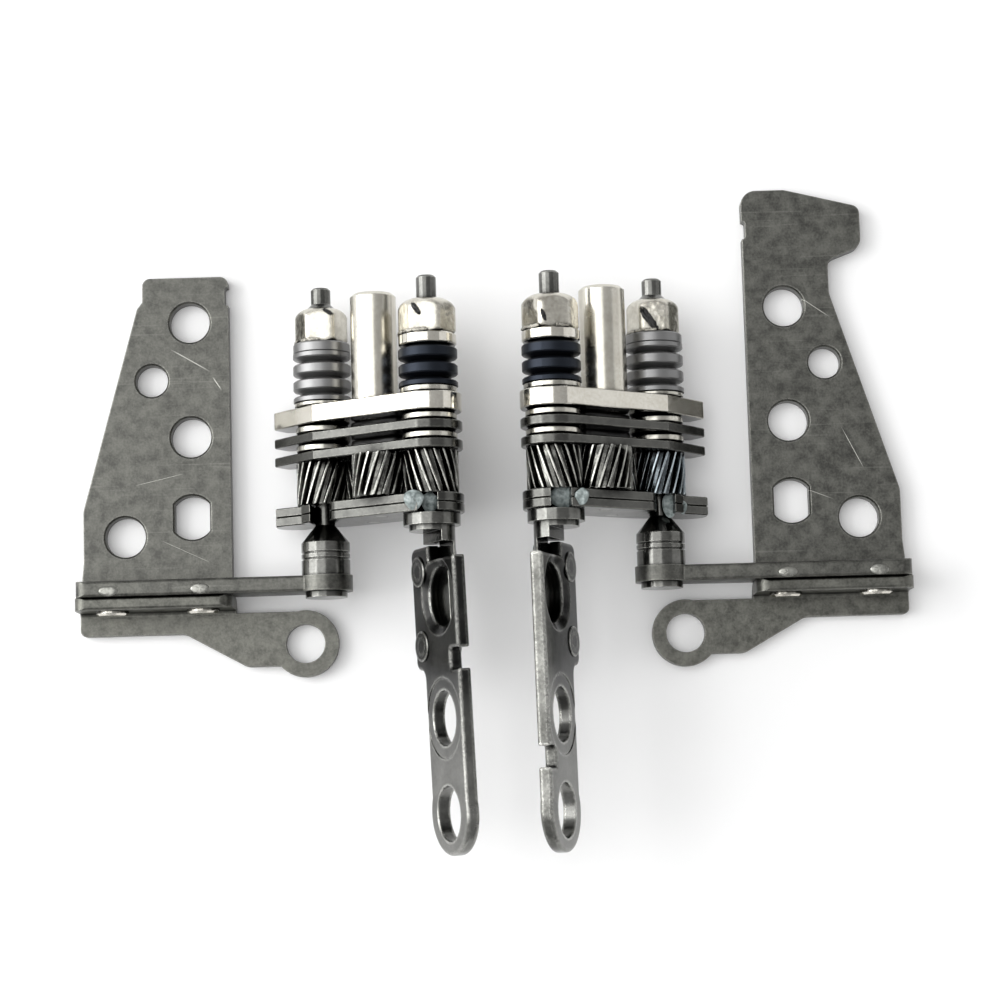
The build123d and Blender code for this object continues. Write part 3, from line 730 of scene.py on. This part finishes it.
@dataclass(frozen=True)
class WetFinish:
    """Something soft left on the metal: two patchy tones in sRGB hex, a gloss and lumps in millimetres."""

    name: str
    deep: str
    pale: str
    roughness: float
    lump: float
    lump_height: float

    def material(self) -> bpy.types.Material:
        """Give the finish's material, made on its first use.

        Returns:
            The material.
        """
        found = bpy.data.materials.get(self.name)
        if found:
            return found
        made = blank_material(self.name)
        tree = made.node_tree
        place = add_node(tree, "TexCoord", {}, {}).outputs["Object"]
        patches = {"Scale": per_metre(self.lump), "Detail": LUMP_DETAIL}
        lumps = add_node(tree, "TexNoise", patches, {"Vector": place}).outputs["Fac"]
        step = {"From Min": LUMP_BAND[0], "From Max": LUMP_BAND[1]}
        share = add_node(tree, "MapRange", step, {"Value": lumps}).outputs[0]
        tones = {"data_type": "RGBA", MIX_FIRST: linear(self.deep), MIX_SECOND: linear(self.pale)}
        colour = add_node(tree, "Mix", tones, {MIX_FACTOR: share}).outputs[MIX_RESULT]
        skin = add_node(tree, "Bump", {"Distance": self.lump_height * MM}, {"Height": lumps}).outputs[0]
        shader = add_node(
            tree, "BsdfPrincipled", {"Roughness": self.roughness}, {"Base Color": colour, "Normal": skin}
        )
        add_node(tree, "OutputMaterial", {}, {"Surface": shader.outputs[0]})
        return made


# Lithium grease gone cloudy: pale blue-grey with a wet skin
GREASE = WetFinish("cloudy_grease", "66706f", "a6b0af", 0.16, 0.5, 0.16)
# Black lump that stands in for the shade deep in a gap: black with a dull wet skin
BLACK_GAP_SHADE = WetFinish("black_gap_shade", "0a0a09", "1d1c1a", 0.42, 0.6, 0.06)
# Locking varnish, brushed on and dried: black, glossy and uneven
VARNISH = WetFinish("black_locking_varnish", "070707", "1c1b19", 0.22, 0.25, 0.03)


def dress(piece: bpy.types.Object, finish: MetalFinish | WetFinish) -> None:
    """Cover a piece with one finish.

    Args:
        piece: The piece to dress.
        finish: The finish that covers all of it.
    """
    piece.data.materials.clear()
    piece.data.materials.append(finish.material())
    LOG.info("dressed %s in %s", piece.name, finish.name)


def start_editing() -> bpy.types.Object:
    """Go into edit mode on the piece that was just added, with all of it selected.

    Returns:
        The piece.
    """
    piece = bpy.context.object
    bpy.ops.object.mode_set(mode="EDIT")
    bpy.ops.mesh.select_all(action="SELECT")
    return piece


def settle(name: str, finish: MetalFinish | WetFinish, body: str) -> None:
    """Finish the piece being edited: put its place into its mesh, dress it and let it ride on a body.

    Args:
        name: The piece's name.
        finish: The piece's finish.
        body: The body that carries the piece.
    """
    piece = bpy.context.object
    if piece.mode == "EDIT":
        bpy.ops.object.mode_set(mode="OBJECT")
    bpy.ops.object.transform_apply(location=True, rotation=True, scale=True)
    for modifier in list(piece.modifiers):
        bpy.ops.object.modifier_apply(modifier=modifier.name)
    bpy.ops.object.shade_smooth()
    piece.name = name
    dress(piece, finish)
    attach(piece, body)
    piece.select_set(False)


# Radius of a ball or disc one millimetre across, which a piece's sizes then stretch
UNIT_RADIUS = 0.5 * MM
# Share of the way to its neighbours' middle that smoothing moves a vertex
SMOOTHING = 0.5


@dataclass(frozen=True)
class GreaseDab:
    """A lump of grease on one body: its middle, its size and the sag of its lower end, in millimetres.

    The lower end starts at a share of the lump's height and is drawn in by factors of its own.
    """

    name: str
    middle: tuple[float, float, float]
    size: tuple[float, float, float]
    body: str
    seed: int
    sag: float
    dip: float = 0.1
    unevenness: float = 0.34
    low_end: float = -0.22
    drawn_in: tuple[float, float, float] = (0.78, 1.0, 0.7)

    def build(self) -> None:
        """Model the lump from a ball that is stretched, roughened and drawn down at its lower end."""
        bpy.ops.object.select_all(action="DESELECT")
        middle = Vector(self.middle) * MM
        bpy.ops.mesh.primitive_uv_sphere_add(segments=20, ring_count=12, radius=UNIT_RADIUS, location=middle)
        piece = start_editing()
        bpy.ops.transform.resize(value=self.size)
        bpy.ops.transform.vertex_random(offset=self.unevenness * MM, uniform=0.7, normal=0.3, seed=self.seed)
        bpy.ops.mesh.vertices_smooth(factor=SMOOTHING, repeat=2)
        bpy.ops.mesh.select_all(action="DESELECT")
        bpy.ops.object.mode_set(mode="OBJECT")
        low = self.low_end * self.size[1] * MM
        for vertex in piece.data.vertices:
            vertex.select = vertex.co.y < low
        bpy.ops.object.mode_set(mode="EDIT")
        bpy.ops.transform.resize(value=self.drawn_in)
        bpy.ops.transform.translate(value=(0.0, -self.sag * MM, -self.dip * MM))
        bpy.ops.mesh.select_all(action="SELECT")
        bpy.ops.mesh.vertices_smooth(factor=SMOOTHING, repeat=2)
        finer = piece.modifiers.new("finer", "SUBSURF")
        finer.levels = finer.render_levels = 1
        settle(self.name, GREASE, self.body)


@dataclass(frozen=True)
class GapShadeLump:
    """A black lump of painted shade that fills the lower part of the gap between two plates, midway between
    the shafts.

    Sizes are in millimetres, and the length is a share of the distance between the shafts.
    """

    side: Side
    upper: str
    lower: str
    seed: int
    length_share: float = 0.44
    height: float = 2.6
    drop: float = 0.7
    unevenness: float = 0.2

    def build(self) -> None:
        """Model the lump from a block that is subdivided, roughened and smoothed."""
        ends = [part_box(f"{self.side.value}_{shaft.value}_cap_washer") for shaft in Shaft]
        base, lid = (Vector(((low[0] + high[0]) / 2, 0.0, (low[2] + high[2]) / 2)) for low, high in ends)
        run = lid - base
        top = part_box(f"{self.side.value}_{self.upper}")[0][1]
        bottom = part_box(f"{self.side.value}_{self.lower}")[1][1]
        lean = -math.atan2(run.z, run.x)
        rise = Vector((-abs(run.z) * math.copysign(1, run.x), 0.0, abs(run.x))).normalized()
        middle = (base + lid) / 2 - rise * self.drop * MM + Vector((0.0, (top + bottom) / 2, 0.0))
        size = (self.length_share * run.length / MM, (top - bottom) / MM, self.height)
        bpy.ops.object.select_all(action="DESELECT")
        bpy.ops.mesh.primitive_cube_add(size=MM, location=middle, rotation=(0.0, lean, 0.0))
        start_editing()
        bpy.ops.mesh.subdivide(number_cuts=7)
        bpy.ops.transform.resize(value=size, orient_type="LOCAL")
        bpy.ops.transform.vertex_random(offset=self.unevenness * MM, uniform=0.7, normal=0.0, seed=self.seed)
        bpy.ops.mesh.vertices_smooth(factor=SMOOTHING, repeat=3)
        settle(f"{self.side.value}_{self.upper}_black_gap_shade", BLACK_GAP_SHADE, self.side.body("link"))


@dataclass(frozen=True)
class VarnishMark:
    """A brushed blot of locking varnish, seen from above, in millimetres and degrees."""

    middle: tuple[float, float]
    length: float
    width: float
    turn: float
    raggedness: float = 0.1
    lift: float = 0.012
    thickness: float = 0.03

    def build(self, name: str, nut: bpy.types.Object, body: str, seed: int) -> None:
        """Lay a ragged disc on the nut from above and give it a little thickness.

        Args:
            name: The mark's name.
            nut: The nut that carries the mark.
            body: The body that the nut belongs to.
            seed: The seed of the ragged rim.
        """
        bpy.ops.object.select_all(action="DESELECT")
        above = (self.middle[0] * MM, self.middle[1] * MM, CAD_BOX[1][2])
        bpy.ops.mesh.primitive_circle_add(vertices=18, radius=UNIT_RADIUS, fill_type="TRIFAN", location=above)
        piece = start_editing()
        bpy.ops.mesh.subdivide(number_cuts=3)
        bpy.ops.transform.resize(value=(self.length, self.width, 1.0))
        ragged = self.raggedness * self.width * MM
        bpy.ops.transform.vertex_random(offset=ragged, uniform=0.8, normal=0.0, seed=seed)
        bpy.ops.object.mode_set(mode="OBJECT")
        piece.rotation_euler.z = math.radians(self.turn)
        bpy.ops.object.transform_apply(location=True, rotation=True, scale=True)
        laid = piece.modifiers.new("laid_on", "SHRINKWRAP")
        laid.target = nut
        laid.wrap_method = "PROJECT"
        laid.use_project_z = True
        laid.use_negative_direction = True
        laid.use_positive_direction = False
        laid.offset = self.lift * MM
        thick = piece.modifiers.new("thickness", "SOLIDIFY")
        thick.thickness = self.thickness * MM
        thick.offset = 1.0
        settle(name, VARNISH, body)


@dataclass(frozen=True)
class Crimp:
    """A lip of nut metal that was pressed down over the washer below it, in millimetres and degrees.

    Its middle is the turn from straight up, and it lies a little above the nut's foot and inside its rim.
    """

    middle: float
    sweep: float
    thickness: float = 0.17
    above_foot: float = 0.12
    inside_rim: float = 0.05
    unevenness: float = 0.13

    def build(self, name: str, nut: bpy.types.Object, body: str, seed: int) -> None:
        """Bend an uneven bead round the nut's lower edge.

        Args:
            name: The lip's name.
            nut: The nut that carries the lip.
            body: The body that the nut belongs to.
            seed: The seed of the bead's unevenness.
        """
        low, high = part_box(nut.name)
        axis = Vector(((low[0] + high[0]) / 2, low[1] + self.above_foot * MM, (low[2] + high[2]) / 2))
        radius = (high[0] - low[0]) / 2 - self.inside_rim * MM
        bpy.ops.object.select_all(action="DESELECT")
        bpy.ops.mesh.primitive_circle_add(
            vertices=10,
            radius=self.thickness * MM,
            fill_type="NGON",
            location=axis + Vector((0.0, 0.0, radius)),
            rotation=(0.0, math.pi / 2, 0.0),
        )
        start_editing()
        half = math.radians(self.sweep / 2)
        turn = math.radians(self.middle)
        bpy.ops.mesh.spin(steps=26, angle=2 * half, center=axis, axis=(0.0, 1.0, 0.0), dupli=False)
        bpy.ops.mesh.select_all(action="SELECT")
        bpy.ops.transform.rotate(value=half - turn, orient_axis="Y", center_override=axis)
        bpy.ops.mesh.normals_make_consistent(inside=False)
        bpy.ops.transform.vertex_random(offset=self.unevenness * MM, uniform=0.6, normal=0.4, seed=seed)
        bpy.ops.mesh.vertices_smooth(factor=SMOOTHING, repeat=2)
        settle(name, NUT_NICKEL, body)


class Assembly:
    """One sub-assembly of a hinge: pieces to add to the frame's solids, and finishes for all of them."""

    def build(self) -> None:
        """Model the pieces that the solids lack, where there are any."""

    def dress(self) -> None:
        """Give each of the frame's solids its finish."""


@dataclass
class BaseBracket(Assembly):
    """The folded base leaf, the foot bracket riveted to it and the two rivets.

    Sizes are in millimetres: the bulge over a rivet, the step from the foot's flange up to the leaf's, and
    how far a bulge lies in from the rivets' outer ends, in from their heads and below the flange's edge.
    """

    side: Side
    bulge: tuple[float, float, float] = (1.9, 1.05, 0.3)
    flange_step: float = 0.5
    inset: float = 1.6
    set_back: float = 1.0
    sink: float = 0.02
    unevenness: float = 0.03

    def build(self) -> None:
        """Raise the flange's edge over each rivet, where the peening pushed it up."""
        low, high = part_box(f"{self.side.value}_bracket_rivets")
        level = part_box(f"{self.side.value}_foot_bracket")[1][2] + (self.flange_step - self.sink) * MM
        for number, across in enumerate((low[0] + self.inset * MM, high[0] - self.inset * MM)):
            bpy.ops.object.select_all(action="DESELECT")
            place = (across, high[1] - self.set_back * MM, level)
            bpy.ops.mesh.primitive_uv_sphere_add(
                segments=24, ring_count=12, radius=UNIT_RADIUS, location=place
            )
            start_editing()
            bpy.ops.transform.resize(value=self.bulge)
            rough = self.unevenness * MM
            bpy.ops.transform.vertex_random(offset=rough, uniform=0.6, normal=0.4, seed=number + 1)
            bpy.ops.mesh.vertices_smooth(factor=SMOOTHING, repeat=1)
            settle(f"{self.side.value}_peened_edge_{number}", PEENED_AND_GLINT, "base")

    def dress(self) -> None:
        """Dress the three pieces."""
        dress(self.side.node("base_bracket"), leaf_steel(self.side))
        dress(self.side.node("foot_bracket"), FOOT)
        dress(self.side.node("bracket_rivets"), NICKEL)


@dataclass
class FrictionStack(Assembly):
    """One shaft's washers, disc springs and nut."""

    side: Side
    shaft: Shaft
    spring_finish: MetalFinish
    cap_finish: MetalFinish
    varnish: VarnishMark
    crimps: tuple[Crimp, ...]

    def build(self) -> None:
        """Put the varnish and the crimped lips on the nut."""
        nut = self.side.node(f"{self.shaft.value}_nut")
        body = "base" if self.shaft is Shaft.BASE else self.side.body("lid")
        name = f"{self.side.value}_{self.shaft.value}"
        seed = len(name)
        self.varnish.build(f"{name}_nut_varnish", nut, body, seed)
        for number, crimp in enumerate(self.crimps):
            crimp.build(f"{name}_nut_crimp_{number}", nut, body, seed + number)

    def dress(self) -> None:
        """Dress the stack's pieces."""
        for name in ("high_washer", "low_washer", "seat_washer"):
            dress(self.side.node(f"{self.shaft.value}_{name}"), WASHER)
        dress(self.side.node(f"{self.shaft.value}_disc_springs"), self.spring_finish)
        dress(self.side.node(f"{self.shaft.value}_cap_washer"), self.cap_finish)
        dress(self.side.node(f"{self.shaft.value}_nut"), NUT_NICKEL)


@dataclass
class Link(Assembly):
    """The plates and post that join the two shafts, with the gears between them."""

    side: Side
    dabs: tuple[GreaseDab, ...]

    def build(self) -> None:
        """Put the grease into the plates' mouths, and black lumps of painted shade into the gaps between
        them.
        """
        for dab in self.dabs:
            dab.build()
        # Black lumps that paint the shade deep in the gaps between the plates
        GapShadeLump(self.side, "post_plate", "friction_plate", 2).build()
        GapShadeLump(self.side, "friction_plate", "gear_plate", 6).build()

    def dress(self) -> None:
        """Dress the plates, the post and the gears."""
        dress(self.side.node("post_plate"), NICKEL)
        dress(self.side.node("guide_post"), POST_NICKEL)
        for name in ("friction_plate", "gear_plate", "inner_link_plate", "outer_link_plate"):
            dress(self.side.node(name), PLATE)
        for name in ("near_idler", "far_idler"):
            dress(self.side.node(name), GEAR)


@dataclass
class Shafts(Assembly):
    """The two shafts, each with its own gear."""

    side: Side
    base_finish: MetalFinish = SHAFT

    def dress(self) -> None:
        """Dress both shafts."""
        dress(self.side.node("base_shaft"), self.base_finish)
        dress(self.side.node("lid_shaft"), SHAFT)


@dataclass
class LidArm(Assembly):
    """The lid arm and its two rivets."""

    side: Side

    def dress(self) -> None:
        """Dress the arm and its rivets."""
        dress(self.side.node("lid_arm"), ARMS[self.side])
        dress(self.side.node("lid_arm_rivets"), ARMS[self.side])


@dataclass(frozen=True)
class SoftBox:
    """A soft lamp: its place and size in millimetres, and how bright its face is beside white."""

    name: str
    place: tuple[float, float, float]
    size: float
    brightness: float

    def hang(self) -> None:
        """Hang the lamp with its face towards the pair."""
        lamp = bpy.data.lights.new(self.name, "AREA")
        lamp.size = self.size * MM
        lamp.energy = self.brightness * math.pi * (self.size * MM) ** 2
        hung = bpy.data.objects.new(self.name, lamp)
        bpy.context.scene.collection.objects.link(hung)
        hung.location = Vector(self.place) * MM
        hung.rotation_euler = (-Vector(self.place)).to_track_quat("-Z", "Y").to_euler()


@dataclass
class Studio:
    """White table, soft lamps, white surroundings and the camera, in millimetres and degrees."""

    floor_half: float = 3000.0
    floor_tone: str = "f4f4f4"
    floor_glow: float = 0.08
    lamps: tuple[SoftBox, ...] = (
        SoftBox("key", (-640, 90, 330), 560, 4.2),
        SoftBox("top", (-400, 60, 860), 900, 1.7),
        SoftBox("right_card", (760, -60, 270), 560, 0.55),
    )
    room_tone: str = "ffffff"
    surround: tuple[float, float] = (0.38, 0.6)
    window_side: tuple[float, float, float] = (-0.8, 0.0, 0.6)
    window_band: tuple[float, float] = (-0.8, 0.8)
    aim: tuple[float, float, float] = (0.815, 2.245, 0.0)
    image_up: tuple[float, float] = (0.0286, 0.9996)
    tilt: float = 7.0
    distance: float = 260.0
    lens: float = 93.6
    sensor: float = 36.0
    clip_start: float = 10.0

    def floor(self) -> None:
        """Lay the white table, which keeps the pair's shadow."""
        bpy.ops.object.select_all(action="DESELECT")
        bpy.ops.mesh.primitive_plane_add(size=2 * self.floor_half * MM)
        plane = bpy.context.object
        plane.name = "white_table"
        made = blank_material("white_card")
        tree = made.node_tree
        ray = add_node(tree, "LightPath", {}, {}).outputs
        seen = add_node(
            tree, "Math", {"operation": "MAXIMUM"}, {0: ray["Is Camera Ray"], 1: ray["Is Glossy Ray"]}
        ).outputs[0]
        shown = add_node(
            tree, "Math", {"operation": "MAXIMUM"}, {0: seen, 1: ray["Is Transmission Ray"]}
        ).outputs[0]
        glow = add_node(tree, "Math", {"operation": "MULTIPLY", 1: self.floor_glow}, {0: shown}).outputs[0]
        light = add_node(tree, "Emission", {}, {"Strength": glow}).outputs[0]
        card = add_node(tree, "BsdfDiffuse", {"Color": linear(self.floor_tone)}, {}).outputs[0]
        both = add_node(tree, "AddShader", {}, {0: card, 1: light}).outputs[0]
        add_node(tree, "OutputMaterial", {}, {"Surface": both})
        plane.data.materials.append(made)

    def light(self) -> None:
        """Hang the soft lamps and set the white room, which is brighter on the window's side."""
        for lamp in self.lamps:
            lamp.hang()
        world = bpy.data.worlds.new("white_room")
        bpy.context.scene.world = world
        world.use_nodes = True
        tree = world.node_tree
        tree.nodes.clear()
        way = add_node(tree, "TexCoord", {}, {}).outputs["Generated"]
        facing = {"operation": "DOT_PRODUCT", 1: self.window_side}
        lean = add_node(tree, "VectorMath", facing, {0: way}).outputs["Value"]
        away, towards = self.window_band
        dark, bright = self.surround
        slope = {"From Min": away, "From Max": towards, "To Min": dark, "To Max": bright}
        level = add_node(tree, "MapRange", slope, {"Value": lean}).outputs[0]
        sky = add_node(tree, "Background", {"Color": linear(self.room_tone)}, {"Strength": level}).outputs[0]
        add_node(tree, "OutputWorld", {}, {"Surface": sky})

    def camera(self) -> None:
        """Set the camera at the photograph's viewing angle."""
        lens = bpy.data.cameras.new("camera")
        lens.lens = self.lens
        lens.sensor_width = self.sensor
        lens.clip_start = self.clip_start * MM
        held = bpy.data.objects.new("camera", lens)
        bpy.context.scene.collection.objects.link(held)
        up = Vector((*self.image_up, 0.0)).normalized()
        turn = math.radians(self.tilt)
        back = Vector((0, 0, 1)) * math.cos(turn) - up * math.sin(turn)
        image_up = (up * math.cos(turn) + Vector((0, 0, 1)) * math.sin(turn)).normalized()
        right = image_up.cross(back)
        stand = Matrix.Translation((Vector(self.aim) + back * self.distance) * MM)
        held.matrix_world = stand @ Matrix((right, image_up, back)).transposed().to_4x4()
        bpy.context.scene.camera = held

    def build(self) -> None:
        """Set up the whole studio."""
        self.floor()
        self.light()
        self.camera()
        bpy.context.scene.view_settings.view_transform = "Standard"


LEFT_HINGE = (
    BaseBracket(Side.LEFT),
    FrictionStack(
        Side.LEFT,
        Shaft.BASE,
        GREY_SPRING,
        GREY_SPRING,
        VarnishMark((-15.6, 20.5), 1.1, 0.4, -31.0),
        (Crimp(-38, 52), Crimp(22, 46)),
    ),
    FrictionStack(
        Side.LEFT,
        Shaft.LID,
        BLUED_SPRING,
        NICKEL,
        VarnishMark((-6.75, 19.2), 1.4, 0.5, -56.0),
        (Crimp(-30, 50), Crimp(28, 54)),
    ),
    Link(
        Side.LEFT,
        (
            GreaseDab("left_lip_grease", (-7.4, 0.85, 14.2), (2.3, 2.0, 0.8), "left_link", 4, 0.2),
            GreaseDab("left_lid_neck_grease", (-5.9, 0.75, 12.9), (2.0, 2.0, 0.7), "left_link", 8, 0.2),
        ),
    ),
    Shafts(Side.LEFT),
    LidArm(Side.LEFT),
)
RIGHT_HINGE = (
    BaseBracket(Side.RIGHT),
    FrictionStack(
        Side.RIGHT,
        Shaft.BASE,
        GREY_SPRING,
        GREY_SPRING,
        VarnishMark((15.9, 18.9), 2.9, 0.8, -56.0),
        (Crimp(30, 50), Crimp(-24, 44)),
    ),
    FrictionStack(
        Side.RIGHT,
        Shaft.LID,
        BLUED_SPRING,
        NICKEL,
        VarnishMark((5.4, 18.1), 1.2, 0.4, -70.0),
        (Crimp(6, 60), Crimp(52, 28)),
    ),
    Link(
        Side.RIGHT,
        (
            GreaseDab("right_lid_neck_grease", (6.7, 0.8, 13.3), (3.2, 2.1, 0.9), "right_link", 7, 0.2),
            GreaseDab("right_lip_grease", (8.5, 0.7, 14.45), (1.6, 1.6, 0.6), "right_link", 3, 0.1),
            GreaseDab("right_base_neck_grease", (17.3, 0.6, 5.95), (1.7, 2.3, 0.8), "right_link", 9, 0.3),
            GreaseDab("right_tab_grease", (18.6, 0.4, 5.75), (1.0, 1.4, 0.5), "right_link", 5, 0.2),
        ),
    ),
    Shafts(Side.RIGHT, GREASED_SHAFT),
    LidArm(Side.RIGHT),
)


def main() -> None:
    """Build the scene."""
    logging.basicConfig(level=logging.INFO, format="%(name)s: %(message)s")
    for assembly in LEFT_HINGE + RIGHT_HINGE:
        assembly.build()
        assembly.dress()
    Studio().build()


if __name__ == "__main__":
    main()
